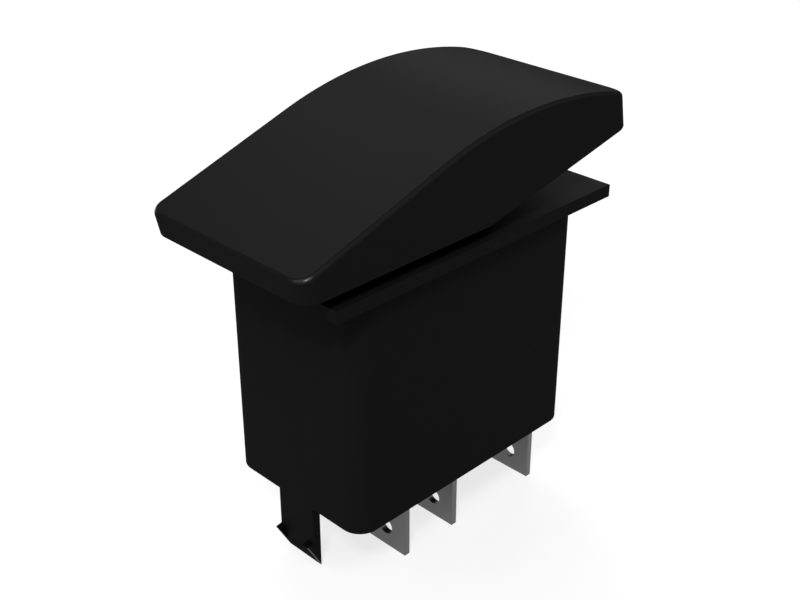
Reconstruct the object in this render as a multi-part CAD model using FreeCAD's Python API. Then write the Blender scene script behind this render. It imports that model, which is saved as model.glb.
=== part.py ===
import FreeCAD, Part
import math
import os
from FreeCAD import Vector

# Double-pole panel rocker switch, lengths in millimetres, angles in degrees.
# The origin is the centre of the flange's underside, the plane that seats on the panel.
# +X runs along the switch towards the tail, the end of the rocker that stands up at rest.
# Pole a lies towards -Y and pole b towards +Y.

# Housing
body_length = 34.88
body_width = 21.0
body_depth = 28.82
body_corner = 2.48
wall = 1.5
skirt_wall = 1.09
flange_length = 42.58
flange_width = 24.04
flange_thickness = 1.51

# Latch legs that continue the two end walls
leg_width = 5.6
leg_reach = 8.62
barb_width = 1.0
barb_reach = 0.87
barb_drop = 4.93
barb_undercut = 0.15

# Rocker cap, drawn at the middle of its throw and then turned nose down
throw_angle = 12.0
pivot_depth = 4.08
rocker_gap = 1.51
nose_reach = 24.24
tail_reach = 25.45
ridge_offset = 1.29
ridge_radius = 6.0
front_slope = 12.0
end_lean = 5.0
hump_radius = 49.8
crest_offset = 5.2
crest_height = 11.93
rocker_side_step = 0.03
rocker_corner = 2.2
rocker_edge = 0.55
rocker_wall = 2.0
rib_thickness = 1.2
rib_count = 3
rib_recess = 0.4

# Neck of the rocker and its bearings in the housing
neck_length = 12.0
neck_width = 15.3
neck_drop = 7.0
neck_side_clearance = 0.25
trunnion_radius = 1.75
trunnion_length = 1.8
bearing_wall = 1.6
snap_ledge = 0.6
snap_ramp = 0.3
stop_clearance = 0.1

# Plungers and their springs
plunger_radius = 1.45
plunger_tip_radius = 1.2
plunger_show = 1.0
plunger_guide_length = 5.0
plunger_clearance = 0.06
spigot_radius = 0.6
spigot_length = 1.6
bore_depth = 10.2
spring_wire = 0.32
spring_turns = 7
spring_air = 0.12
runs_per_turn = 10
wire_sides = 5

# Contact arms and contact buttons
fulcrum_depth = 17.0
arm_tilt = 4.0
arm_width = 4.6
arm_thickness = 1.0
arm_flat = 4.0
arm_overhang = 2.1
arm_corner = 1.0
groove_depth = 0.35
groove_floor = 0.6
groove_mouth = 1.8
button_offset = 9.6
button_radius = 1.5
button_height = 1.0
button_bevel = 0.2
shank_radius = 0.8
rivet_head_radius = 1.2
rivet_head_height = 0.3
touch_gap = 0.03

# Base and terminals
base_thickness = 2.5
plinth_margin = 1.0
plinth_side_gap = 0.15
pole_offset = 5.235
blade_width = 6.35
blade_thickness = 0.8
blade_reach = 8.71
blade_hole_radius = 1.06
blade_hole_above_tip = 2.7
nose_terminal_x = -7.98
tail_terminal_x = 13.87
foot_width = 5.0
foot_overhang = 1.9
bend_radius = 0.7
shoulder = 0.3
shoulder_height = 1.2
cradle_height = 1.5
cradle_gap = 0.15
knife_bevel = 0.25
barrier_thickness = 1.2
barrier_length = 24.0
barrier_gap = 1.5

# Clearances
running_clearance = 0.05
fit_clearance = 0.05
rivet_clearance = 0.02

# Levels that several pieces share
half_throw = throw_angle / 2
turn = math.radians(half_throw)
end_turn = math.radians(end_lean)
tilt = math.radians(arm_tilt)
pivot_z = flange_thickness - pivot_depth
rocker_width = flange_width - 2 * rocker_side_step
neck_bottom = pivot_z - neck_drop
body_bottom = -body_depth
base_top = body_bottom + base_thickness
blade_tip = body_bottom - blade_reach
fulcrum_z = -fulcrum_depth
arm_under = fulcrum_z + running_clearance - groove_depth
arm_top = arm_under + arm_thickness
closed_wing_z = fulcrum_z - arm_flat * math.sin(tilt) + (arm_under - fulcrum_z) * math.cos(tilt)
fixed_face_z = closed_wing_z - button_height - touch_gap
foot_top = fixed_face_z - button_height
foot_under = foot_top - blade_thickness
bore_radius = plunger_radius + running_clearance
opening_half_length = (neck_length / 2 + pivot_depth * math.sin(turn)) / math.cos(turn) + stop_clearance
opening_half_width = neck_width / 2 + neck_side_clearance
poles = {"a": -pole_offset, "b": pole_offset}


def save(name, shape):
    """Write one node's solids to its own file."""
    shape.exportStep("parts/%s.step" % name)


def centred_box(length, width, low, high, x=0.0, y=0.0):
    """Box centred on (x, y) in plan, between two heights."""
    return Part.makeBox(length, width, high - low, Vector(x - length / 2, y - width / 2, low))


def span_box(x_low, x_high, y_low, y_high, z_low, z_high):
    """Box between six faces."""
    return Part.makeBox(x_high - x_low, y_high - y_low, z_high - z_low, Vector(x_low, y_low, z_low))


def rounded_box(length, width, radius, low, high):
    """Box with rounded upright corners."""
    box = centred_box(length, width, low, high)
    upright = [edge for edge in box.Edges if abs(edge.tangentAt(edge.FirstParameter).z) > 0.99]
    return box.makeFillet(max(radius, 0.1), upright)


def prism(points, direction):
    """Solid swept straight from a closed outline of points."""
    return Part.Face(Part.makePolygon(points + points[:1])).extrude(direction)


def across(outline, width, y=0.0):
    """Prism across the switch from an outline of (x, z) pairs."""
    return prism([Vector(px, y - width / 2, pz) for px, pz in outline], Vector(0, width, 0))


def turned_about(shape, x, z, degrees):
    """Turn a shape about a line across the switch."""
    copy = shape.copy()
    copy.rotate(Vector(x, 0, z), Vector(0, 1, 0), degrees)
    return copy


def rocker_to_rest(shape):
    """Swing a rocker piece from the middle of its throw to nose down."""
    return turned_about(shape, 0, pivot_z, -half_throw)


def arm_to_rest(shape):
    """Tip a contact arm from level on to its tail contact."""
    return turned_about(shape, 0, fulcrum_z, arm_tilt)


def spun(profile, x, y):
    """Turned piece about an upright axis from (radius, z) pairs."""
    outline = [Vector(x + radius, y, z) for radius, z in profile]
    face = Part.Face(Part.makePolygon(outline + outline[:1]))
    return face.revolve(Vector(x, y, 0), Vector(0, 0, 1), 360)


def latch_leg():
    """Leg under the nose wall: a thin tongue with a barb at each edge and a common lead-in slope."""
    outer = -body_length / 2
    inner = outer + skirt_wall
    ledge = body_bottom - barb_drop
    bottom = body_bottom - leg_reach
    tip = (outer - barb_reach, ledge - barb_undercut)
    slope = (bottom - tip[1]) / (inner - tip[0])
    slope_start = tip[1] + slope * barb_reach
    tongue = across([(inner, base_top), (outer, base_top), (outer, slope_start), (inner, bottom)], leg_width)
    barb_outline = [(inner, ledge), (outer, ledge), tip, (inner, bottom)]
    barb_y = (leg_width - barb_width) / 2
    barbs = [across(barb_outline, barb_width, side * barb_y) for side in (-1, 1)]
    return tongue.fuse(barbs).removeSplitter()


def bearing_cuts(side):
    """Blind bearing hole for a trunnion and the ramped slot that leads down to it."""
    face_y = opening_half_width
    end_y = neck_width / 2 + trunnion_length + stop_clearance
    hole_radius = trunnion_radius + running_clearance
    hole = Part.makeCylinder(hole_radius, end_y, Vector(0, 0, pivot_z), Vector(0, side, 0))
    floor = pivot_z + trunnion_radius + snap_ledge
    corners = [(0, floor), (face_y + snap_ramp, floor), (end_y, flange_thickness), (0, flange_thickness)]
    outline = [Vector(-hole_radius, side * y, z) for y, z in corners]
    return [hole, prism(outline, Vector(2 * hole_radius, 0, 0))]


def housing():
    """Flange, walls, bearing bosses and latch legs, moulded as one piece and open at the bottom."""
    inner_length = body_length - 2 * wall
    inner_width = body_width - 2 * wall
    body = rounded_box(body_length, body_width, body_corner, body_bottom, 0)
    body = body.fuse(centred_box(flange_length, flange_width, 0, flange_thickness))
    body = body.cut(rounded_box(inner_length, inner_width, body_corner - wall, body_bottom, 0))
    rebate_length = body_length - 2 * skirt_wall
    rebate_width = body_width - 2 * skirt_wall
    rebate = rounded_box(rebate_length, rebate_width, body_corner - skirt_wall, body_bottom, base_top)
    body = body.cut(rebate)
    boss_half = trunnion_radius + bearing_wall
    for side in (-1, 1):
        boss_y = sorted([side * opening_half_width, side * (inner_width / 2 + fit_clearance)])
        body = body.fuse(span_box(-boss_half, boss_half, boss_y[0], boss_y[1], pivot_z - boss_half, 0))
    opening = centred_box(
        2 * opening_half_length, 2 * opening_half_width, pivot_z - 2 * boss_half, flange_thickness)
    body = body.cut([opening] + bearing_cuts(-1) + bearing_cuts(1))
    nose_leg = latch_leg()
    tail_leg = nose_leg.mirror(Vector(0, 0, 0), Vector(1, 0, 0))
    return body.fuse([nose_leg, tail_leg]).removeSplitter()


def rocker_face(inset=0.0):
    """Side view of the cap at mid-throw: outer form, or the hollow set in by the wall."""
    lean = Vector(-math.sin(end_turn), 0, math.cos(end_turn))
    inward = Vector(math.cos(end_turn), 0, math.sin(end_turn))
    seat = pivot_depth + rocker_gap
    ridge_height = (seat - ridge_offset * math.sin(turn)) / math.cos(turn)
    ridge = Vector(ridge_offset, 0, pivot_z + ridge_height)
    nose = Vector(-nose_reach, 0, ridge.z + (nose_reach + ridge_offset) * math.tan(turn)) + inward * inset
    tail = Vector(tail_reach, 0, ridge.z + (tail_reach - ridge_offset) * math.tan(turn)) - inward * inset
    radius = hump_radius - inset
    centre = Vector(crest_offset, 0, flange_thickness + crest_height - hump_radius)
    slope = math.radians(front_slope)
    meet = centre + Vector(-math.sin(slope), 0, math.cos(slope)) * radius
    along = Vector(math.cos(slope), 0, math.sin(slope))
    rise = ((meet - nose).cross(along)).y / (lean.cross(along)).y
    nose_top = nose + lean * rise
    offset = tail - centre
    reach = offset.dot(lean)
    tail_top = tail + lean * (math.sqrt(reach ** 2 - offset.dot(offset) + radius ** 2) - reach)
    crown = centre + ((meet - centre) + (tail_top - centre)).normalize() * radius
    lower = [nose, ridge, tail]
    if inset:
        lower = [nose - lean * seat, tail - lean * seat]
    edges = [Part.LineSegment(nose_top, meet), Part.Arc(meet, crown, tail_top)]
    path = [tail_top] + lower[::-1] + [nose_top]
    edges += [Part.LineSegment(start, end) for start, end in zip(path, path[1:])]
    return Part.Face(Part.Wire(Part.__sortEdges__([edge.toShape() for edge in edges])))


def rocker_prism(width, inset=0.0):
    """The cap's side view swept across a width."""
    face = rocker_face(inset)
    face.translate(Vector(0, -width / 2, 0))
    return face.extrude(Vector(0, width, 0))


def rounded_cap():
    """Outer form of the cap with its soft corners, ridge and top edge."""
    cap = rocker_prism(rocker_width)
    half = rocker_width / 2
    lean = Vector(-math.sin(end_turn), 0, math.cos(end_turn))
    corners = [edge for edge in cap.Edges
               if edge.Curve.TypeId == "Part::GeomLine" and abs(edge.tangentAt(0).dot(lean)) > 0.999]
    cap = cap.makeFillet(rocker_corner, corners)
    ridge = [edge for edge in cap.Edges
             if abs(edge.CenterOfMass.x - ridge_offset) < 0.01 and abs(edge.CenterOfMass.y) < 0.01
             and edge.Length > half]
    cap = cap.makeFillet(ridge_radius, ridge)
    top_faces = [face for face in cap.Faces if face.normalAt(0.5, 0.5).z > 0.5 or is_hump(face)]
    rim = [edge for face in top_faces for edge in face.Edges]
    inner = [edge for edge in rim if sum(edge.isSame(other) for other in rim) > 1]
    outer = [edge for edge in rim if not any(edge.isSame(other) for other in inner)]
    return cap.makeFillet(rocker_edge, outer)


def is_hump(face):
    """True for the arched part of the cap's top."""
    surface = face.Surface
    return surface.TypeId == "Part::GeomCylinder" and abs(surface.Radius - hump_radius) < 0.001


def rocker():
    """Hollow ribbed cap with the neck, its plunger bores and its two trunnions."""
    cap = rounded_cap()
    inner_width = rocker_width - 2 * rocker_wall
    hollow = rocker_prism(inner_width, rocker_wall)
    neck_top = crest_height + flange_thickness - rocker_wall
    keep = [centred_box(neck_length, neck_width, neck_bottom, neck_top)]
    pitch = inner_width / (rib_count + 1)
    for index in range(rib_count):
        rib = rocker_prism(rib_thickness)
        rib.translate(Vector(0, pitch * (index + 1) - inner_width / 2, rib_recess))
        keep.append(rib)
    cap = cap.cut(hollow.cut(keep))
    neck = centred_box(neck_length, neck_width, neck_bottom, flange_thickness + rocker_gap + rocker_wall)
    for side in (-1, 1):
        start = Vector(0, side * (neck_width / 2 - rocker_wall), pivot_z)
        reach = trunnion_length + rocker_wall
        trunnion = Part.makeCylinder(trunnion_radius, reach, start, Vector(0, side, 0))
        neck = neck.fuse(trunnion)
    bores = [Part.makeCylinder(bore_radius, bore_depth, Vector(0, y, neck_bottom)) for y in poles.values()]
    return rocker_to_rest(cap.fuse(neck).cut(bores).removeSplitter())


def plunger(y):
    """Turned pin with a round tip on the contact arm and a spigot inside the spring."""
    tip = arm_top + plunger_clearance
    guide_low = neck_bottom - plunger_show
    guide_high = guide_low + plunger_guide_length
    nose = Part.makeCylinder(plunger_tip_radius, guide_low - tip - plunger_tip_radius,
                             Vector(0, y, tip + plunger_tip_radius))
    ball = Part.makeSphere(plunger_tip_radius, Vector(0, y, tip + plunger_tip_radius))
    guide = Part.makeCylinder(plunger_radius, plunger_guide_length, Vector(0, y, guide_low))
    spigot = Part.makeCylinder(spigot_radius, spigot_length, Vector(0, y, guide_high))
    return rocker_to_rest(nose.fuse([ball, guide, spigot]).removeSplitter())


def ring_points(centre, radius, first, second, count):
    """Corners of a regular polygon in the plane of two unit vectors."""
    angles = [2 * math.pi * index / count for index in range(count)]
    return [centre + first * radius * math.cos(a) + second * radius * math.sin(a) for a in angles]


def plunger_spring(y):
    """Coil between the plunger's shoulder and the end of its bore, as short straight runs."""
    low = neck_bottom - plunger_show + plunger_guide_length
    high = neck_bottom + bore_depth
    wire_radius = spring_wire / 2
    coil_radius = bore_radius - spring_air - wire_radius
    start_z = low + wire_radius + fit_clearance
    run_rise = (high - low - spring_wire - 2 * fit_clearance) / (spring_turns * runs_per_turn)
    path = []
    for index in range(spring_turns * runs_per_turn + 1):
        angle = 2 * math.pi * index / runs_per_turn
        path.append(Vector(coil_radius * math.cos(angle), y + coil_radius * math.sin(angle),
                           start_z + run_rise * index))
    heading = (path[1] - path[0]).normalize()
    outward = Vector(1, 0, 0) - heading * heading.x
    outward.normalize()
    section = ring_points(path[0], wire_radius, outward, heading.cross(outward), wire_sides)
    wire = Part.makePolygon(section + section[:1])
    mitred = 1
    return rocker_to_rest(Part.makePolygon(path).makePipeShell([wire], True, False, mitred))


def moving_button(y):
    """Contact button under a closed wing, riveted over on top, at the tail end."""
    face_z = closed_wing_z - button_height
    wing_top = closed_wing_z + arm_thickness
    profile = [
        (0, face_z),
        (button_radius - button_bevel, face_z),
        (button_radius, face_z + button_bevel),
        (button_radius, closed_wing_z),
        (shank_radius, closed_wing_z),
        (shank_radius, wing_top),
        (rivet_head_radius, wing_top),
        (rivet_head_radius, wing_top + rivet_head_height),
        (0, wing_top + rivet_head_height),
    ]
    return spun(profile, button_offset, y)


def mirrored(shape):
    """Swap nose and tail."""
    return shape.mirror(Vector(0, 0, 0), Vector(1, 0, 0))


def button_in_arm(shape, end):
    """Move a piece of the closed tail wing to either wing of the level arm, then to rest."""
    level = turned_about(shape, 0, fulcrum_z, -arm_tilt)
    return arm_to_rest(level if end == "tail" else mirrored(level))


def contact_arm(y):
    """Rocking strip with a knife groove under its middle and two raised wings."""
    wing = button_offset + arm_overhang - arm_flat
    end_x = arm_flat + wing * math.cos(tilt)
    end_z = arm_under + wing * math.sin(tilt)
    lift = arm_thickness * math.sin(tilt)
    half = [
        (groove_floor / 2, fulcrum_z + running_clearance),
        (groove_mouth / 2, arm_under),
        (arm_flat, arm_under),
        (end_x, end_z),
        (end_x - lift, end_z + arm_thickness * math.cos(tilt)),
        (arm_flat - arm_thickness * math.tan(tilt / 2), arm_top),
    ]
    strip = across(half + [(-x, z) for x, z in half[::-1]], arm_width, y)
    ends = [edge for edge in strip.Edges
            if abs(edge.CenterOfMass.x) > end_x - lift and abs(edge.tangentAt(0).y) < 0.1]
    strip = arm_to_rest(strip.makeFillet(arm_corner, ends))
    hole = Part.makeCylinder(shank_radius + rivet_clearance, 3 * arm_thickness,
                             Vector(button_offset, y, closed_wing_z - arm_thickness))
    return strip.cut([button_in_arm(hole, "nose"), button_in_arm(hole, "tail")])


def fixed_button(x, y):
    """Flat contact button with its shank riveted into a terminal's foot."""
    profile = [
        (0, foot_under),
        (shank_radius, foot_under),
        (shank_radius, foot_top),
        (button_radius, foot_top),
        (button_radius, fixed_face_z - button_bevel),
        (button_radius - button_bevel, fixed_face_z),
        (0, fixed_face_z),
    ]
    return spun(profile, x, y)


def blade_hole(x, y):
    """Hole through a blade near its tip."""
    start = Vector(x - blade_thickness, y, blade_tip + blade_hole_above_tip)
    return Part.makeCylinder(blade_hole_radius, 2 * blade_thickness, start, Vector(1, 0, 0))


def throw_terminal(x, button_x, y):
    """Blade through the base, bent over into a foot that carries a fixed contact."""
    blade = centred_box(blade_thickness, blade_width, blade_tip, foot_top, x, y)
    foot_end = button_x - foot_overhang
    back = x + blade_thickness / 2
    foot = span_box(foot_end, back, y - foot_width / 2, y + foot_width / 2, foot_under, foot_top)
    terminal = blade.fuse(foot).removeSplitter()
    bend = [edge for edge in terminal.Edges
            if abs(edge.CenterOfMass.x - back) < 0.01 and abs(edge.CenterOfMass.z - foot_top) < 0.01
            and edge.Length > foot_width / 2]
    terminal = terminal.makeFillet(bend_radius, bend)
    shank = Part.makeCylinder(shank_radius + rivet_clearance, 2 * blade_thickness,
                              Vector(button_x, y, foot_under - blade_thickness / 2))
    return terminal.cut([blade_hole(x, y), shank])


def common_terminal(y):
    """Middle blade whose top is a cradle with a knife edge for the contact arm."""
    half = blade_width / 2
    notch = arm_width / 2 + cradle_gap
    ear_top = fulcrum_z + cradle_height
    side = [
        (half, blade_tip),
        (half, foot_under),
        (half + shoulder, foot_under),
        (half + shoulder, foot_under + shoulder_height),
        (half, foot_under + shoulder_height),
        (half, ear_top),
        (notch, ear_top),
        (notch, fulcrum_z),
    ]
    outline = side + [(-y_off, z) for y_off, z in side[::-1]]
    points = [Vector(-blade_thickness / 2, y + y_off, z) for y_off, z in outline]
    terminal = prism(points, Vector(blade_thickness, 0, 0))
    knife = [edge for edge in terminal.Edges
             if abs(edge.CenterOfMass.z - fulcrum_z) < 0.001 and abs(edge.CenterOfMass.x) > 0.1]
    return terminal.makeChamfer(knife_bevel, knife).cut(blade_hole(0, y))


def base():
    """Thick terminal board: a plate in the housing's rebate, a plinth and the wall between the poles."""
    gap = 2 * fit_clearance
    plate = rounded_box(body_length - 2 * skirt_wall - gap, body_width - 2 * skirt_wall - gap,
                        body_corner - skirt_wall - fit_clearance, body_bottom, base_top)
    nose_end = -button_offset - foot_overhang - plinth_margin
    tail_end = tail_terminal_x + blade_thickness / 2 + plinth_margin
    half_width = body_width / 2 - wall - plinth_side_gap
    plinth = span_box(nose_end, tail_end, -half_width, half_width, base_top, foot_under)
    neck_sweep = neck_drop * math.cos(turn) + neck_length / 2 * math.sin(turn)
    barrier = centred_box(barrier_length, barrier_thickness, foot_under, pivot_z - neck_sweep - barrier_gap)
    slots = [centred_box(blade_thickness + gap, blade_width + gap, body_bottom, foot_under, x, y)
             for x in (nose_terminal_x, 0, tail_terminal_x) for y in poles.values()]
    return plate.fuse([plinth, barrier]).cut(slots).removeSplitter()


def main():
    """Make every node."""
    os.makedirs("parts", exist_ok=True)
    save("housing", housing())
    save("rocker", rocker())
    save("base", base())
    for pole, y in poles.items():
        save("plunger_" + pole, plunger(y))
        save("plunger_spring_" + pole, plunger_spring(y))
        save("contact_arm_" + pole, contact_arm(y))
        save("common_terminal_" + pole, common_terminal(y))
        for end, terminal_x, button_x in (("nose", nose_terminal_x, -button_offset),
                                          ("tail", tail_terminal_x, button_offset)):
            save("%s_terminal_%s" % (end, pole), throw_terminal(terminal_x, button_x, y))
            save("%s_fixed_contact_%s" % (end, pole), fixed_button(button_x, y))
            save("%s_moving_contact_%s" % (end, pole), button_in_arm(moving_button(y), end))


main()
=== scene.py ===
import math

import bmesh
import bpy
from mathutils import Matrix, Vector


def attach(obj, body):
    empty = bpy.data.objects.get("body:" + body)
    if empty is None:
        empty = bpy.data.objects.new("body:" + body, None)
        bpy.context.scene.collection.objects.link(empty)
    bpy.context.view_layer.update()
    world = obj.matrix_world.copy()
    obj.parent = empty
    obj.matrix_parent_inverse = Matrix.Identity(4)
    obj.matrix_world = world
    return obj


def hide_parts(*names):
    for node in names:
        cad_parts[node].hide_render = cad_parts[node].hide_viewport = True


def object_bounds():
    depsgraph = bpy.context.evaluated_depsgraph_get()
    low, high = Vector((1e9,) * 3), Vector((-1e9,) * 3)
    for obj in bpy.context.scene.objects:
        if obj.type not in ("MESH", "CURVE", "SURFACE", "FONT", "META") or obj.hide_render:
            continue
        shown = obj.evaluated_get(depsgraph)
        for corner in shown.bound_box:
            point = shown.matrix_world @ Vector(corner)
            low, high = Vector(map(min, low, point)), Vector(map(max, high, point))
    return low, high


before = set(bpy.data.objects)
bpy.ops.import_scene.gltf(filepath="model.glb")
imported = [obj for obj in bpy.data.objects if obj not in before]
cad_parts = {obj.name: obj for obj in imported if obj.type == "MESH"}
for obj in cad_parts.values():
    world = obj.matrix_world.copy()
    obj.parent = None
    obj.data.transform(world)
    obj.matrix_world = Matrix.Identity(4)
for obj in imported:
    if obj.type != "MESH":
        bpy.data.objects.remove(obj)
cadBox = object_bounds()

mm = 0.001  # the values of the pieces are in millimetres and degrees
tolerance = 0.01  # millimetres, closer than this is the same place
overlap = 1.0  # millimetres, how far a cutter reaches past what it cuts
alike = 0.995  # the cosine above which two directions are taken as one
print("frame loaded with", len(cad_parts), "nodes")


def startBlock(name, low, high):
    # a cube primitive between two corners
    bpy.ops.object.select_all(action="DESELECT")
    low, high = Vector(low) * mm, Vector(high) * mm
    bpy.ops.mesh.primitive_cube_add(size=1, location=(low + high) / 2)
    block = bpy.context.object
    block.scale = high - low
    bpy.ops.object.transform_apply(location=True, rotation=True, scale=True)
    block.name = block.data.name = name
    return block


def startRod(name, radius, start, end, sides=48):
    # a cylinder primitive between two points
    bpy.ops.object.select_all(action="DESELECT")
    start, end = Vector(start) * mm, Vector(end) * mm
    turn = (end - start).to_track_quat("Z", "Y").to_euler()
    bpy.ops.mesh.primitive_cylinder_add(vertices=sides, radius=radius * mm, depth=(end - start).length,
                                        location=(start + end) / 2, rotation=turn)
    bpy.ops.object.transform_apply(location=True, rotation=True, scale=True)
    rod = bpy.context.object
    rod.name = rod.data.name = name
    return rod


def makeActive(obj):
    bpy.ops.object.select_all(action="DESELECT")
    obj.select_set(True)
    bpy.context.view_layer.objects.active = obj


def editAll(obj):
    # opens a mesh for editing with all of it selected
    makeActive(obj)
    bpy.ops.object.mode_set(mode="EDIT")
    bpy.ops.mesh.select_all(action="SELECT")


def editPicked(obj, kind, isWanted):
    # opens a mesh for editing with the faces, edges or vertices selected that pass the test
    makeActive(obj)
    bpy.ops.object.mode_set(mode="EDIT")
    bpy.ops.mesh.select_mode(type=kind)
    bpy.ops.mesh.select_all(action="DESELECT")
    mesh = bmesh.from_edit_mesh(obj.data)
    for item in {"FACE": mesh.faces, "EDGE": mesh.edges, "VERT": mesh.verts}[kind]:
        if isWanted(item):
            item.select_set(True)
    bmesh.update_edit_mesh(obj.data)


def endEdit():
    bpy.ops.object.mode_set(mode="OBJECT")


def cutAlong(obj, planes, keepBoth=False):
    # cuts away what lies in front of each (point, normal) plane, or only scores the faces there
    editAll(obj)
    for place, normal in planes:
        bpy.ops.mesh.select_all(action="SELECT")
        bpy.ops.mesh.bisect(plane_co=Vector(place) * mm, plane_no=Vector(normal).normalized(),
                            use_fill=not keepBoth, clear_outer=not keepBoth, threshold=1e-7)
    endEdit()


def scoreOff(obj, halfWidth, height):
    # scores a piece at both sides of its middle and at a height, so that faces can be pulled out of it
    across, up = (0, 1, 0), (0, 0, 1)
    planes = [((0, halfWidth, 0), across), ((0, -halfWidth, 0), across), ((0, 0, height), up)]
    cutAlong(obj, planes, keepBoth=True)


def pullFaces(obj, isWanted, offset):
    # extrudes the faces whose centre, in millimetres, passes the test
    editPicked(obj, "FACE", lambda face: isWanted(face.calc_center_median() / mm))
    bpy.ops.mesh.extrude_region_move(TRANSFORM_OT_translate={"value": Vector(offset) * mm})
    endEdit()


def nudgeCorners(obj, isWanted, offset):
    # moves the vertices whose place, in millimetres, passes the test
    editPicked(obj, "VERT", lambda vertex: isWanted(vertex.co / mm))
    bpy.ops.transform.translate(value=Vector(offset) * mm)
    endEdit()


def roundEdges(obj, isWanted, width, segments):
    # bevels the edges that pass the test
    editPicked(obj, "EDGE", isWanted)
    bpy.ops.mesh.bevel(offset=width * mm, segments=segments, affect="EDGES", clamp_overlap=False)
    endEdit()


def turnPiece(obj, degrees, pivot):
    # turns a mesh about a line across the switch, tail down for a positive angle
    editAll(obj)
    bpy.ops.transform.rotate(value=-math.radians(degrees), orient_axis="Y",
                             center_override=Vector(pivot) * mm)
    endEdit()


def copyPiece(obj, name, offset):
    # a copy with a mesh of its own, moved by the offset
    twin = obj.copy()
    twin.data = obj.data.copy()
    twin.name = twin.data.name = name
    bpy.context.scene.collection.objects.link(twin)
    editAll(twin)
    bpy.ops.transform.translate(value=Vector(offset) * mm)
    endEdit()
    return twin


def combine(obj, operation, others):
    # joins or cuts with other pieces, which are used up
    makeActive(obj)
    for other in others:
        modifier = obj.modifiers.new("combine", "BOOLEAN")
        modifier.operation = operation
        modifier.solver = "EXACT"
        modifier.object = other
        bpy.ops.object.modifier_apply(modifier=modifier.name)
        bpy.data.objects.remove(other)


def addSlots(obj, count):
    # empty material slots, filled once the materials are made
    for index in range(count):
        obj.data.materials.append(None)


def finishPiece(obj, smoothAngle=40):
    # smooths the rounded faces and evens the shading
    makeActive(obj)
    bpy.ops.object.shade_smooth_by_angle(angle=math.radians(smoothAngle))
    weighted = obj.modifiers.new("even shading", "WEIGHTED_NORMAL")
    weighted.keep_sharp = True
    bpy.ops.object.modifier_apply(modifier=weighted.name)


def ends(edge):
    # the two ends of an edge in millimetres
    return [vertex.co / mm for vertex in edge.verts]


def isAlong(edge, direction):
    start, end = ends(edge)
    return abs((end - start).normalized().dot(direction)) > alike


def isUpright(edge):
    return isAlong(edge, Vector((0, 0, 1)))


# the camera looks down at the switch past the near corner of the nose; the lens and sensor in millimetres too
camera = {"place": (-90.317, -89.544, 59.038), "downTilt": 28.5, "heading": -45.0,
          "lens": 56.91, "sensor": 36.0, "nearest": 5.0}
cameraData = bpy.data.cameras.new("camera")
cameraData.lens = camera["lens"]
cameraData.sensor_width = camera["sensor"]
cameraData.clip_start = camera["nearest"] * mm
cameraObject = bpy.data.objects.new("camera", cameraData)
bpy.context.scene.collection.objects.link(cameraObject)
cameraObject.location = Vector(camera["place"]) * mm
cameraObject.rotation_euler = (math.radians(90 - camera["downTilt"]), 0, math.radians(camera["heading"]))
bpy.context.scene.camera = cameraObject

# the rocker's outline is given as (x, z) with its nose down, as it rests; the upright part of a normal
# is under wallNormal on a wall, and over topNormal on the top or the bottom
rocker = {
    "noseFoot": (-24.9611, 3.0200), "ridge": (0.7096, 3.0200), "tailFoot": (24.4718, 8.0708),
    "width": 23.98, "endLean": 11.0, "underSlope": 12.0, "frontSlope": 18.0,
    "humpCentre": (8.7035, -35.6313), "humpRadius": 49.8, "tailSlope": 19.0, "humpSteps": 36,
    "blockEnds": (-27.0, 26.0), "blockTop": 16.0, "wallNormal": 0.6, "topNormal": 0.85,
    "cornerRadius": 2.2, "cornerSteps": 18, "rimRadius": 0.55, "rimSteps": 8,
    "ridgeRadius": 6.0, "ridgeSteps": 4, "lowerEdge": 0.12, "lowerSteps": 2,
    "wall": 2.0, "hollowSteps": 12, "ribs": 3, "ribWidth": 1.2, "ribRecess": 0.4,
    "pivot": (0, 0, -2.57), "halfThrow": 6.0, "neckLength": 12.0, "neckWidth": 15.3,
    "neckBottom": -9.57, "neckTop": 11.44,
    "trunnionRadius": 1.75, "trunnionEnd": 9.45, "trunnionSides": 64,
    "boreRadius": 1.5, "boreDepth": 10.2, "poleOffset": 5.235,
}


def fromOutline(point):
    # a point of the outline, on the middle plane
    return Vector((point[0], 0, point[1]))


def leaning(degrees):
    # the upward direction, leant over towards the tail
    angle = math.radians(degrees)
    return Vector((math.sin(angle), 0, math.cos(angle)))


def endPlanes(inset):
    # the planes that end the cap, or its hollow when set in by the wall
    outward = leaning(90 - rocker["endLean"])
    return [(fromOutline(rocker["noseFoot"]) + outward * inset, -outward),
            (fromOutline(rocker["tailFoot"]) - outward * inset, outward)]


def humpPlanes(inset, steps):
    # the planes that round the top of the cap, or of its hollow
    spread = rocker["frontSlope"] + rocker["tailSlope"]
    normals = [leaning(spread * step / steps - rocker["frontSlope"]) for step in range(steps + 1)]
    centre = fromOutline(rocker["humpCentre"])
    return [(centre + normal * (rocker["humpRadius"] - inset), normal) for normal in normals]


def underside():
    # the outward normal of the cap's sloping underside behind the ridge
    return -leaning(-rocker["underSlope"])


def isRim(edge, side):
    # an edge between the top or bottom of the cap and its walls
    if len(edge.link_faces) != 2:
        return False
    wall, top = sorted(side * face.normal.z for face in edge.link_faces)
    return wall < rocker["wallNormal"] and top > rocker["topNormal"]


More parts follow.
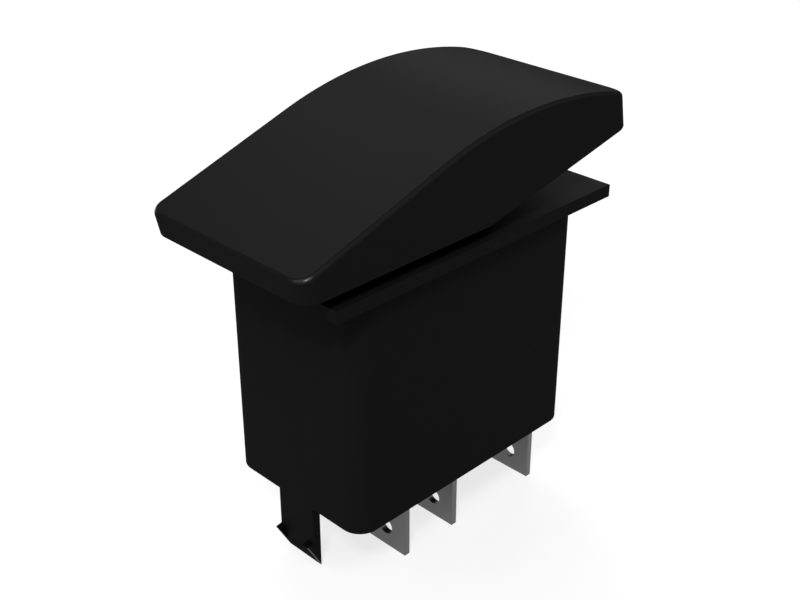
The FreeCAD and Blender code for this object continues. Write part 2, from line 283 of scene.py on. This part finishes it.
def makeCap():
    # the cap's outer form, still solid
    half = rocker["width"] / 2
    ridge = fromOutline(rocker["ridge"])
    noseEnd, tailEnd = rocker["blockEnds"]
    cap = startBlock("rockerCap", (noseEnd, -half, ridge.z), (tailEnd, half, rocker["blockTop"]))
    cutAlong(cap, endPlanes(0) + [(ridge, underside())])
    corner = leaning(-rocker["endLean"])
    roundEdges(cap, lambda edge: isAlong(edge, corner), rocker["cornerRadius"], rocker["cornerSteps"])
    cutAlong(cap, humpPlanes(0, rocker["humpSteps"]))
    ridgeWidth = rocker["ridgeRadius"] * math.tan(math.radians(rocker["underSlope"]) / 2)
    roundEdges(cap, lambda edge: all((place - ridge).xz.length < tolerance for place in ends(edge)),
               ridgeWidth, rocker["ridgeSteps"])
    addSlots(cap, 2)
    roundEdges(cap, lambda edge: isRim(edge, 1), rocker["rimRadius"], rocker["rimSteps"])
    for face in cap.data.polygons:
        face.material_index = 1 if face.select else 0  # the rim has a finish of its own
    roundEdges(cap, lambda edge: isRim(edge, -1), rocker["lowerEdge"], rocker["lowerSteps"])
    return cap


def capCutters():
    # a pocket on each side of every rib, and a recess in two parts that shortens the ribs
    wall, halfRib, ribs = rocker["wall"], rocker["ribWidth"] / 2, rocker["ribs"]
    innerHalf = rocker["width"] / 2 - wall
    pitch = 2 * innerHalf / (ribs + 1)
    noseEnd, tailEnd = rocker["blockEnds"]
    ridgeX, foot = rocker["ridge"]
    bottom, top = foot - 2 * overlap, rocker["blockTop"]
    pockets = []
    for index in range(ribs + 1):
        low = -innerHalf + pitch * index + (halfRib if index else 0)
        high = -innerHalf + pitch * (index + 1) - (halfRib if index < ribs else 0)
        pocket = startBlock("pocket", (noseEnd, low, bottom), (tailEnd, high, top))
        cutAlong(pocket, endPlanes(wall) + humpPlanes(wall, rocker["hollowSteps"]))
        pockets.append(pocket)
    recess = rocker["ribRecess"]
    front = startBlock("recess", (noseEnd, -innerHalf, bottom), (ridgeX, innerHalf, foot + recess))
    cutAlong(front, endPlanes(wall))
    rear = startBlock("recess", (ridgeX, -innerHalf, bottom), (tailEnd, innerHalf, top))
    cutAlong(rear, endPlanes(wall) + [(fromOutline(rocker["ridge"]) - underside() * recess, -underside())])
    return pockets + [front, rear]


def makeNeck():
    # the block under the cap, with the trunnions and the two plunger bores, tipped to its rest position
    halfLength, halfWidth, bottom = rocker["neckLength"] / 2, rocker["neckWidth"] / 2, rocker["neckBottom"]
    neck = startBlock("neck", (-halfLength, -halfWidth, bottom), (halfLength, halfWidth, rocker["neckTop"]))
    pivot, end = Vector(rocker["pivot"]), Vector((0, rocker["trunnionEnd"], 0))
    trunnions = startRod("trunnions", rocker["trunnionRadius"], pivot - end, pivot + end,
                         rocker["trunnionSides"])
    combine(neck, "UNION", [trunnions])
    bores = []
    for y in (-rocker["poleOffset"], rocker["poleOffset"]):
        bores.append(startRod("bore", rocker["boreRadius"], (0, y, bottom - overlap),
                              (0, y, bottom + rocker["boreDepth"])))
    combine(neck, "DIFFERENCE", bores)
    turnPiece(neck, -rocker["halfThrow"], rocker["pivot"])
    return neck


def makeRocker():
    cap = makeCap()
    combine(cap, "DIFFERENCE", capCutters())
    combine(cap, "UNION", [makeNeck()])
    finishPiece(cap)
    return cap


rockerCap = makeRocker()
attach(rockerCap, "rocker")
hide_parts("rocker")
print("rocker made:", len(rockerCap.data.polygons), "faces")

housing = {
    "length": 34.88, "width": 21.0, "depth": 28.82, "corner": 2.48, "cornerSteps": 12,
    "wall": 1.5, "skirtWall": 1.09, "skirtTop": -26.32, "edge": 0.07, "edgeSteps": 2,
    "flangeLength": 42.58, "flangeWidth": 24.04, "flangeHeight": 1.51,
    "openingHalfLength": 6.56, "openingHalfWidth": 7.9, "openingBottom": -12.0, "cutterTop": 4.0,
    "bossHalf": 3.35, "bossTop": 0.5, "bossLap": 0.05, "pivotHeight": rocker["pivot"][2],
    "bearingRadius": 1.8, "bearingEnd": 9.55, "bearingSides": 64, "slotFloor": -0.22, "rampStart": 8.2,
    "legWidth": 5.6, "legBottom": -37.44, "legSpare": 0.5, "ledge": -33.75,
    "barbWidth": 1.0, "barbReach": 0.87, "undercut": 0.15, "leadEdge": 0.12, "leadSteps": 3,
}
# the parts of a normal that tell the faces of the barbs apart, and how proud of the wall they stand
barbFaces = {"flank": 0.98, "slant": 0.2, "slopeOut": 0.15, "slopeDown": 0.09, "ledge": 0.8, "proud": 0.05}


def roundedBlock(name, length, width, radius, low, high):
    block = startBlock(name, (-length / 2, -width / 2, low), (length / 2, width / 2, high))
    roundEdges(block, isUpright, radius, housing["cornerSteps"])
    return block


def roomCutter(name, wall, top):
    # the room inside walls of one thickness, open at the bottom
    return roundedBlock(name, housing["length"] - 2 * wall, housing["width"] - 2 * wall,
                        housing["corner"] - wall, -housing["depth"] - overlap, top)


def makeBoss(side):
    # the block behind a long wall that holds a bearing; the opening cutter trims its inner face
    half, pivot = housing["bossHalf"], housing["pivotHeight"]
    reach = (side * (housing["openingHalfWidth"] - overlap),
             side * (housing["width"] / 2 - housing["wall"] + housing["bossLap"]))
    return startBlock("boss", (-half, min(reach), pivot - half), (half, max(reach), housing["bossTop"]))


def bearingCutters():
    # the opening for the neck, the blind bearing holes, and a slot with ramps that lets the trunnions in
    halfLength, halfWidth = housing["openingHalfLength"], housing["openingHalfWidth"]
    radius, end, top = housing["bearingRadius"], housing["bearingEnd"], housing["cutterTop"]
    pivot, slotFloor, rampStart = housing["pivotHeight"], housing["slotFloor"], housing["rampStart"]
    opening = startBlock("opening", (-halfLength, -halfWidth, housing["openingBottom"]),
                         (halfLength, halfWidth, top))
    hole = startRod("hole", radius, (0, -end, pivot), (0, end, pivot), housing["bearingSides"])
    slot = startBlock("slot", (-radius, -end - overlap, slotFloor), (radius, end + overlap, top))
    run, climb = end - rampStart, housing["flangeHeight"] - slotFloor
    cutAlong(slot, [((0, side * rampStart, slotFloor), (0, side * climb, -run)) for side in (-1, 1)])
    return [opening, hole, slot]


def makeLeg(side):
    # the tongue under an end wall, with a barb pulled out at each edge and one lead-in slope for all;
    # the barbs are pulled out a little too far, and the slope cuts the spare off
    half, bottom, ledge = housing["legWidth"] / 2, housing["legBottom"], housing["ledge"]
    reach, undercut, spare = housing["barbReach"], housing["undercut"], housing["legSpare"]
    outer, barbStart = housing["length"] / 2, half - housing["barbWidth"]
    inner, tip = outer - housing["skirtWall"], outer + reach
    leg = startBlock("leg", (inner, -half, bottom - spare), (outer, half, housing["skirtTop"]))
    scoreOff(leg, barbStart, ledge)
    pullFaces(leg, lambda centre: centre.x > outer - tolerance and abs(centre.y) > barbStart
              and centre.z < ledge, (reach + spare, 0, 0))
    nudgeCorners(leg, lambda place: place.x > tip and place.z > ledge - tolerance,
                 (0, 0, -undercut * (1 + spare / reach)))
    foot = Vector((inner, 0, bottom))
    leadIn = Vector((ledge - undercut - bottom, 0, inner - tip)).normalized()
    cutAlong(leg, [(foot, leadIn)])
    roundEdges(leg, lambda edge: all(abs((place - foot).dot(leadIn)) < tolerance
                                     and abs(abs(place.y) - half) < tolerance for place in ends(edge)),
               housing["leadEdge"], housing["leadSteps"])
    if side < 0:
        editAll(leg)
        bpy.ops.transform.mirror(constraint_axis=(True, False, False), center_override=(0, 0, 0))
        bpy.ops.mesh.normals_make_consistent(inside=False)
        endEdit()
    return leg


def barbSlot(place, normal):
    # 1 for the rubbed side edges of the lead-in slopes, 2 for the ledges and inner flanks of the barbs, which
    # are matt and darkened as painted shade
    limits, sideways = barbFaces, abs(normal.y)
    if place.z > housing["ledge"] + tolerance:
        return 0
    isSlant = limits["slant"] < sideways < limits["flank"]
    if isSlant and abs(normal.x) > limits["slopeOut"] and normal.z < -limits["slopeDown"]:
        return 1
    isInner = sideways > limits["flank"] and abs(place.y) < (housing["legWidth"] - housing["barbWidth"]) / 2
    isProud = abs(place.x) > housing["length"] / 2 + limits["proud"]
    return 2 if isProud and (isInner or normal.z > limits["ledge"]) else 0


def makeHousing():
    bottom, edgeWidth, edgeSteps = -housing["depth"], housing["edge"], housing["edgeSteps"]
    body = roundedBlock("housingShell", housing["length"], housing["width"], housing["corner"], bottom, 0)
    roundEdges(body, lambda edge: all(place.z < bottom + tolerance for place in ends(edge)),
               edgeWidth, edgeSteps)
    halfLength, halfWidth = housing["flangeLength"] / 2, housing["flangeWidth"] / 2
    flange = startBlock("flange", (-halfLength, -halfWidth, 0),
                        (halfLength, halfWidth, housing["flangeHeight"]))
    roundEdges(flange, lambda edge: True, edgeWidth, edgeSteps)
    combine(body, "UNION", [flange])
    combine(body, "DIFFERENCE", [roomCutter("inside", housing["wall"], 0),
                                 roomCutter("skirt", housing["skirtWall"], housing["skirtTop"])])
    combine(body, "UNION", [makeBoss(-1), makeBoss(1)])
    combine(body, "DIFFERENCE", bearingCutters())
    combine(body, "UNION", [makeLeg(-1), makeLeg(1)])
    finishPiece(body)
    addSlots(body, 3)
    for face in body.data.polygons:
        face.material_index = barbSlot(face.center / mm, face.normal)
    return body


housingShell = makeHousing()
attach(housingShell, "housing")
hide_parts("housing")
print("housing made:", len(housingShell.data.polygons), "faces")

# every edge of a throw blade shorter than shortEdge lies across its thickness or round its bend
terminal = {
    "width": 6.35, "thickness": 0.8, "tip": -37.53, "edge": 0.06, "edgeSteps": 2, "shortEdge": 1.0,
    "footTop": -19.61, "footWidth": 5.0, "footOverhang": 1.9, "bendRadius": 0.7, "bendSteps": 6,
    "holeRadius": 1.06, "holeHeight": -34.83, "shankRadius": 0.82,
    "noseX": -7.98, "tailX": 13.87, "contactX": 9.6,
    "shoulder": 0.3, "shoulderHeight": 1.2, "earTop": -15.5,
    "knifeHeight": -17.0, "notchHalf": 2.45, "knifeBevel": 0.25,
}


def isTip(edge):
    return all(place.z < terminal["tip"] + tolerance for place in ends(edge))


def isKnife(edge):
    # a long edge of the notch's floor
    return isAlong(edge, Vector((0, 1, 0))) and all(
        abs(place.z - terminal["knifeHeight"]) < tolerance and abs(place.y) < terminal["width"] / 2
        for place in ends(edge))


def bladeHole(x):
    reach = Vector((2 * overlap, 0, 0))
    centre = Vector((x, 0, terminal["holeHeight"]))
    return startRod("hole", terminal["holeRadius"], centre - reach, centre + reach)


def makeThrowTerminal(name, x, contactX):
    # a blade bent over into the foot that holds a fixed contact
    halfWidth, halfFoot = terminal["width"] / 2, terminal["footWidth"] / 2
    front, back = x - terminal["thickness"] / 2, x + terminal["thickness"] / 2
    footTop, footUnder = terminal["footTop"], terminal["footTop"] - terminal["thickness"]
    blade = startBlock(name, (front, -halfWidth, terminal["tip"]), (back, halfWidth, footTop))
    roundEdges(blade, lambda edge: all(abs(place.x - back) < tolerance and abs(place.z - footTop) < tolerance
                                       for place in ends(edge)),
               terminal["bendRadius"], terminal["bendSteps"])
    roundEdges(blade, lambda edge: isUpright(edge) or isTip(edge)
               or edge.calc_length() < terminal["shortEdge"] * mm, terminal["edge"], terminal["edgeSteps"])
    scoreOff(blade, halfFoot, footUnder)
    pullFaces(blade, lambda centre: abs(centre.x - front) < tolerance and abs(centre.y) < halfFoot
              and centre.z > footUnder, (contactX - terminal["footOverhang"] - front, 0, 0))
    shank = startRod("shank", terminal["shankRadius"], (contactX, 0, footUnder - overlap),
                     (contactX, 0, footTop + overlap))
    combine(blade, "DIFFERENCE", [bladeHole(x), shank])
    return blade


def makeCommonTerminal(name):
    # a straight blade whose top is the knife edge between two ears
    halfWidth, halfThick = terminal["width"] / 2, terminal["thickness"] / 2
    blade = startBlock(name, (-halfThick, -halfWidth, terminal["tip"]),
                       (halfThick, halfWidth, terminal["earTop"]))
    footUnder, shoulder = terminal["footTop"] - terminal["thickness"], halfWidth + terminal["shoulder"]
    shoulders = startBlock("shoulders", (-halfThick, -shoulder, footUnder),
                           (halfThick, shoulder, footUnder + terminal["shoulderHeight"]))
    roundEdges(blade, lambda edge: isUpright(edge) or isTip(edge), terminal["edge"], terminal["edgeSteps"])
    combine(blade, "UNION", [shoulders])
    notch = startBlock("notch", (-2 * overlap, -terminal["notchHalf"], terminal["knifeHeight"]),
                       (2 * overlap, terminal["notchHalf"], 0))
    combine(blade, "DIFFERENCE", [notch, bladeHole(0)])
    roundEdges(blade, isKnife, terminal["knifeBevel"], 1)  # one step, a chamfer
    return blade


blades = []
for column, blade in (("nose", makeThrowTerminal("noseBlade", terminal["noseX"], -terminal["contactX"])),
                      ("common", makeCommonTerminal("commonBlade")),
                      ("tail", makeThrowTerminal("tailBlade", terminal["tailX"], terminal["contactX"]))):
    finishPiece(blade)
    for pole, side in (("a", -1), ("b", 1)):
        twin = copyPiece(blade, column + "Blade_" + pole, (0, side * rocker["poleOffset"], 0))
        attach(twin, "housing")
        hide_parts(column + "_terminal_" + pole)
        blades.append(twin)
    bpy.data.objects.remove(blade)
print("terminals made:", len(blades))


def newNode(tree, kind, **values):
    node = tree.nodes.new(kind)
    for name, value in values.items():
        setattr(node, name, value)
    return node


def plug(tree, target, value):
    # links a socket, or sets a plain value
    if isinstance(value, bpy.types.NodeSocket):
        tree.links.new(value, target)
    else:
        target.default_value = value


def startGroup(name, inputs, outputs):
    # a node group with sockets named in two dictionaries, each of them a Float or a Vector
    group = bpy.data.node_groups.new(name, "ShaderNodeTree")
    for direction, sockets in (("INPUT", inputs), ("OUTPUT", outputs)):
        for label, kind in sockets.items():
            group.interface.new_socket(name=label, in_out=direction, socket_type="NodeSocket" + kind)
    return group, newNode(group, "NodeGroupInput"), newNode(group, "NodeGroupOutput")


# every material is a little uneven; most of the cloud's values lie within cloudRange
noise = {"grainDetail": 3, "cloudDetail": 4, "cloudRange": (0.3, 0.7)}


def makeGrainGroup():
    # fine moulding grain as a height, and a broad cloud as a mask
    group, inside, outside = startGroup(
        "surface grain", {"Grain Scale": "Float", "Cloud Scale": "Float", "Stretch": "Vector"},
        {"Height": "Float", "Cloud": "Float"})
    link = group.links.new
    place = newNode(group, "ShaderNodeTexCoord")
    stretch = newNode(group, "ShaderNodeVectorMath", operation="MULTIPLY")
    link(place.outputs["Object"], stretch.inputs[0])
    link(inside.outputs["Stretch"], stretch.inputs[1])
    for scale, detail, result in (("Grain Scale", noise["grainDetail"], "Height"),
                                  ("Cloud Scale", noise["cloudDetail"], "Cloud")):
        texture = newNode(group, "ShaderNodeTexNoise")
        texture.inputs["Detail"].default_value = detail
        link(stretch.outputs[0], texture.inputs["Vector"])
        link(inside.outputs[scale], texture.inputs["Scale"])
        link(texture.outputs["Fac"], outside.inputs[result])
    return group


def foldAcross(tree, vector):
    # makes the Y part of a vector positive, so that both sides of the switch are treated alike
    link = tree.links.new
    split = newNode(tree, "ShaderNodeSeparateXYZ")
    fold = newNode(tree, "ShaderNodeMath", operation="ABSOLUTE")
    join = newNode(tree, "ShaderNodeCombineXYZ")
    link(vector, split.inputs[0])
    link(split.outputs["Y"], fold.inputs[0])
    link(split.outputs["X"], join.inputs["X"])
    link(fold.outputs[0], join.inputs["Y"])
    link(split.outputs["Z"], join.inputs["Z"])
    return join.outputs[0]


def makeSpotGroup():
    # a mask that fades with distance from a point, and from its mirror image across the switch
    sockets = {"Point": "Vector", "Reach": "Float"}
    group, inside, outside = startGroup("soft spot", sockets, {"Mask": "Float"})
    link = group.links.new
    place = newNode(group, "ShaderNodeTexCoord")
    distance = newNode(group, "ShaderNodeVectorMath", operation="DISTANCE")
    fade = newNode(group, "ShaderNodeMapRange", interpolation_type="SMOOTHSTEP")
    fade.inputs["To Min"].default_value = 1
    fade.inputs["To Max"].default_value = 0
    link(foldAcross(group, place.outputs["Object"]), distance.inputs[0])
    link(inside.outputs["Point"], distance.inputs[1])
    link(distance.outputs["Value"], fade.inputs["Value"])
    link(inside.outputs["Reach"], fade.inputs["From Max"])
    link(fade.outputs["Result"], outside.inputs["Mask"])
    return group


def makeFacingGroup():
    # a mask of what faces a direction, or its mirror image across the switch; the limit is a cosine
    sockets = {"Direction": "Vector", "Limit": "Float"}
    group, inside, outside = startGroup("facing", sockets, {"Mask": "Float"})
    link = group.links.new
    place = newNode(group, "ShaderNodeTexCoord")
    likeness = newNode(group, "ShaderNodeVectorMath", operation="DOT_PRODUCT")
    fade = newNode(group, "ShaderNodeMapRange", interpolation_type="SMOOTHSTEP")
    link(foldAcross(group, place.outputs["Normal"]), likeness.inputs[0])
    link(inside.outputs["Direction"], likeness.inputs[1])
    link(likeness.outputs["Value"], fade.inputs["Value"])
    link(inside.outputs["Limit"], fade.inputs["From Min"])
    link(fade.outputs["Result"], outside.inputs["Mask"])
    return group


grainGroup = makeGrainGroup()
spotGroup = makeSpotGroup()
facingGroup = makeFacingGroup()


def fromMask(tree, mask, inner, outer):
    # a value that is inner where the mask is 1 and outer where it is 0
    value = newNode(tree, "ShaderNodeMapRange")
    plug(tree, value.inputs["To Min"], outer)
    plug(tree, value.inputs["To Max"], inner)
    tree.links.new(mask, value.inputs["Value"])
    return value.outputs["Result"]


def addSpot(tree, point, reach, inner, outer):
    # a value that goes from inner at the point to outer beyond its reach
    spot = newNode(tree, "ShaderNodeGroup", node_tree=spotGroup)
    spot.inputs["Point"].default_value = point
    spot.inputs["Reach"].default_value = reach
    return fromMask(tree, spot.outputs["Mask"], inner, outer)


def addFacing(tree, direction, limit, inner, outer):
    # a value that goes from inner where the surface faces the direction to outer past the limit
    facing = newNode(tree, "ShaderNodeGroup", node_tree=facingGroup)
    facing.inputs["Direction"].default_value = Vector(direction).normalized()
    facing.inputs["Limit"].default_value = limit
    return fromMask(tree, facing.outputs["Mask"], inner, outer)


# what a material may say plainly, and the shader's socket for it
plainSockets = {"metallic": "Metallic", "specular": "Specular IOR Level", "coat": "Coat Weight",
                "coatRoughness": "Coat Roughness"}


def makeMaterial(name, values):
    material = bpy.data.materials.new(name)
    material.use_nodes = True
    tree = material.node_tree
    link = tree.links.new
    shader = tree.nodes["Principled BSDF"]
    grain = newNode(tree, "ShaderNodeGroup", node_tree=grainGroup)
    grain.inputs["Grain Scale"].default_value = values["grainScale"]
    grain.inputs["Cloud Scale"].default_value = values["cloudScale"]
    grain.inputs["Stretch"].default_value = values.get("stretch", (1, 1, 1))
    colour = newNode(tree, "ShaderNodeMix", data_type="RGBA")
    colour.inputs["A"].default_value = (*values["colourLow"], 1)
    colour.inputs["B"].default_value = (*values["colourHigh"], 1)
    rough = newNode(tree, "ShaderNodeMapRange")
    rough.inputs["From Min"].default_value, rough.inputs["From Max"].default_value = noise["cloudRange"]
    rough.inputs["To Min"].default_value = values["roughLow"]
    rough.inputs["To Max"].default_value = values["roughHigh"]
    bump = newNode(tree, "ShaderNodeBump")
    bump.inputs["Strength"].default_value = values["bump"]
    bump.inputs["Distance"].default_value = values["bumpHeight"] * mm
    link(grain.outputs["Cloud"], colour.inputs["Factor"])
    link(grain.outputs["Cloud"], rough.inputs["Value"])
    link(grain.outputs["Height"], bump.inputs["Height"])
    link(colour.outputs["Result"], shader.inputs["Base Color"])
    link(rough.outputs["Result"], shader.inputs["Roughness"])
    link(bump.outputs["Normal"], shader.inputs["Normal"])
    for key, label in plainSockets.items():
        if key in values:
            shader.inputs[label].default_value = values[key]
    return material


def makeRimMaterial(name, values):
    # the coat is thicker where the sides are rubbed and where fingers polish the corners of the nose
    material = makeMaterial(name, values)
    tree = material.node_tree
    limit = values["facingLimit"]
    rubbed = addFacing(tree, values["sideFacing"], limit, values["rub"], values["coat"])
    polished = addFacing(tree, values["cornerFacing"], limit, values["polish"], rubbed)
    weight = addSpot(tree, Vector(values["spot"]) * mm, values["reach"] * mm, polished, rubbed)
    tree.links.new(weight, tree.nodes["Principled BSDF"].inputs["Coat Weight"])
    return material


def paint(obj, material):
    obj.data.materials.clear()
    obj.data.materials.append(material)


# the finishes; bumpHeight, spot and reach are in millimetres, and the two scales count per metre
plastic = {"colourLow": (0.0062, 0.0062, 0.0063), "colourHigh": (0.0068, 0.0068, 0.0069),
           "roughLow": 0.40, "roughHigh": 0.46, "grainScale": 2500, "cloudScale": 90,
           "bump": 0.25, "bumpHeight": 0.01, "specular": 0, "coat": 0.03, "coatRoughness": 0.4}
rimPlastic = {**plastic, "coatRoughness": 0.28, "polish": 0.5, "spot": (-24.4, 11.6, 5.7), "reach": 2.6,
              "cornerFacing": (-0.6, 0.53, 0.6), "sideFacing": (-0.25, 0.76, 0.6),
              "facingLimit": 0.88, "rub": 0.14}
edgePlastic = {**plastic, "coat": 0.8, "coatRoughness": 0.25}
# painted shade: the barbs' ledges and inner flanks are darker than the rest of the plastic and have no coat
paintedShadePlastic = {**plastic, "colourLow": (0.0032, 0.0032, 0.0032), "colourHigh": (0.0036, 0.0036, 0.0036),
               "coat": 0}
tinPlate = {"colourLow": (0.105, 0.105, 0.106), "colourHigh": (0.14, 0.14, 0.142),
            "roughLow": 0.30, "roughHigh": 0.42, "grainScale": 1800, "cloudScale": 300,
            "stretch": (1, 1, 0.15), "bump": 0.3, "bumpHeight": 0.004, "metallic": 1}
springWire = {"colourLow": (0.42, 0.42, 0.43), "colourHigh": (0.50, 0.50, 0.51),
              "roughLow": 0.22, "roughHigh": 0.3, "grainScale": 3000, "cloudScale": 500,
              "bump": 0.2, "bumpHeight": 0.003, "metallic": 1}
armBrass = {"colourLow": (0.62, 0.42, 0.17), "colourHigh": (0.74, 0.53, 0.24),
            "roughLow": 0.28, "roughHigh": 0.4, "grainScale": 2000, "cloudScale": 300,
            "stretch": (0.2, 1, 1), "bump": 0.25, "bumpHeight": 0.004, "metallic": 1}
contactSilver = {"colourLow": (0.72, 0.71, 0.68), "colourHigh": (0.82, 0.81, 0.79),
                 "roughLow": 0.2, "roughHigh": 0.32, "grainScale": 2600, "cloudScale": 500,
                 "bump": 0.2, "bumpHeight": 0.003, "metallic": 1}
acetal = {"colourLow": (0.70, 0.69, 0.65), "colourHigh": (0.78, 0.77, 0.73),
          "roughLow": 0.34, "roughHigh": 0.44, "grainScale": 2200, "cloudScale": 250,
          "bump": 0.2, "bumpHeight": 0.006, "specular": 0.4}

blackPlastic = makeMaterial("black plastic", plastic)
terminalMetal = makeMaterial("tin plate", tinPlate)
rockerCap.data.materials[0] = blackPlastic
rockerCap.data.materials[1] = makeRimMaterial("polished rim", rimPlastic)
housingShell.data.materials[0] = blackPlastic
housingShell.data.materials[1] = makeMaterial("rubbed edge", edgePlastic)
# the third slot holds the barbs' ledges and inner flanks, darkened with painted shade
housingShell.data.materials[2] = makeMaterial("painted shade recess", paintedShadePlastic)
for blade in blades:
    paint(blade, terminalMetal)
# a node takes the first of these whose word is in its name
nodeMaterials = {"spring": makeMaterial("spring wire", springWire),
                 "arm": makeMaterial("brass strip", armBrass),
                 "plunger": makeMaterial("natural acetal", acetal),
                 "contact": makeMaterial("contact silver", contactSilver),
                 "terminal": terminalMetal,
                 "base": blackPlastic, "rocker": blackPlastic, "housing": blackPlastic}
for name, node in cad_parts.items():
    for word, material in nodeMaterials.items():
        if word in name:
            paint(node, material)
            break
print("materials made")

# the studio is a white floor and world with soft round lamps, its lengths in metres
studio = {"floorSize": 6.0, "floorGap": 0.00002, "floorColour": 0.8, "seenColour": 0.22, "floorGlow": 0.78,
          "fadeReach": 0.7, "fill": 0.02, "lampDistance": 1.0}
lamps = {"key lamp": {"heading": 238, "height": 58, "size": 0.6, "power": 3.8},
         "spark lamp": {"heading": 216, "height": 47, "size": 0.15, "power": 4.6},
         "left lamp": {"heading": 150, "height": 40, "size": 0.5, "power": 2.8},
         "high rear lamp": {"heading": 65, "height": 50, "size": 0.5, "power": 3.25},
         "rear lamp": {"heading": 60, "height": 40, "size": 0.5, "power": 2.5},
         "low rear lamp": {"heading": 37, "height": 21, "size": 0.42, "power": 2.78}}


def makeSightGroup():
    # a value for rays that see the floor or world directly, in gloss or through glass, and one for the others
    group, inside, outside = startGroup(
        "choose by sight",
        {"Camera": "Float", "Glossy": "Float", "Transmission": "Float", "Seen": "Float", "Unseen": "Float"},
        {"Value": "Float"})
    link = group.links.new
    either = newNode(group, "ShaderNodeMath", operation="MAXIMUM")
    seen = newNode(group, "ShaderNodeMath", operation="MAXIMUM")
    choice = newNode(group, "ShaderNodeMix")
    link(inside.outputs["Camera"], either.inputs[0])
    link(inside.outputs["Glossy"], either.inputs[1])
    link(either.outputs[0], seen.inputs[0])
    link(inside.outputs["Transmission"], seen.inputs[1])
    link(seen.outputs[0], choice.inputs["Factor"])
    link(inside.outputs["Unseen"], choice.inputs["A"])
    link(inside.outputs["Seen"], choice.inputs["B"])
    link(choice.outputs["Result"], outside.inputs["Value"])
    return group


sightGroup = makeSightGroup()


def addSight(tree, seen, unseen):
    # a value that is seen for the rays that show the studio and unseen for those that light the switch
    rays = newNode(tree, "ShaderNodeLightPath")
    sight = newNode(tree, "ShaderNodeGroup", node_tree=sightGroup)
    for label in ("Camera", "Glossy", "Transmission"):
        tree.links.new(rays.outputs["Is " + label + " Ray"], sight.inputs[label])
    plug(tree, sight.inputs["Seen"], seen)
    sight.inputs["Unseen"].default_value = unseen
    return sight.outputs["Value"]


def makeFloorMaterial():
    # the eye sees a dim matt layer, which takes the shadow, under an even glow, and away from the switch
    # they go over into the white of the world; from below the floor is clear
    material = bpy.data.materials.new("floor")
    material.use_nodes = True
    tree = material.node_tree
    link = tree.links.new
    tree.nodes.remove(tree.nodes["Principled BSDF"])
    matt = newNode(tree, "ShaderNodeBsdfDiffuse")
    glow = newNode(tree, "ShaderNodeEmission")
    both = newNode(tree, "ShaderNodeAddShader")
    facing = newNode(tree, "ShaderNodeNewGeometry")
    clear = newNode(tree, "ShaderNodeBsdfTransparent")
    oneSided = newNode(tree, "ShaderNodeMixShader")
    seenColour = addSpot(tree, (0, 0, 0), studio["fadeReach"], studio["seenColour"], 0)
    seenGlow = addSpot(tree, (0, 0, 0), studio["fadeReach"], studio["floorGlow"], 1)
    link(addSight(tree, seenColour, studio["floorColour"]), matt.inputs["Color"])
    link(addSight(tree, seenGlow, 0), glow.inputs["Strength"])
    link(matt.outputs[0], both.inputs[0])
    link(glow.outputs[0], both.inputs[1])
    link(facing.outputs["Backfacing"], oneSided.inputs["Fac"])
    link(both.outputs[0], oneSided.inputs[1])
    link(clear.outputs[0], oneSided.inputs[2])
    link(oneSided.outputs[0], tree.nodes["Material Output"].inputs["Surface"])
    return material


bpy.ops.object.select_all(action="DESELECT")
bpy.ops.mesh.primitive_plane_add(size=studio["floorSize"],
                                 location=(0, 0, cadBox[0].z - studio["floorGap"]))
floor = bpy.context.object
floor.name = "floor"
floor.data.materials.append(makeFloorMaterial())


def addLamp(name, heading, height, size, power):
    # a round soft lamp, seen from the switch at a heading and a height in degrees
    data = bpy.data.lights.new(name, "AREA")
    data.shape = "DISK"
    data.size = size
    data.energy = power
    lamp = bpy.data.objects.new(name, data)
    bpy.context.scene.collection.objects.link(lamp)
    lamp.rotation_euler = (math.radians(90 - height), 0, math.radians(heading + 90))
    lamp.location = lamp.rotation_euler.to_matrix() @ Vector((0, 0, studio["lampDistance"]))


for name, values in lamps.items():
    addLamp(name, **values)
world = bpy.data.worlds.new("studio")
bpy.context.scene.world = world
world.use_nodes = True
background = world.node_tree.nodes["Background"]
background.inputs["Color"].default_value = (1, 1, 1, 1)
world.node_tree.links.new(addSight(world.node_tree, 1, studio["fill"]), background.inputs["Strength"])
bpy.context.scene.view_settings.view_transform = "Standard"
print("studio made")
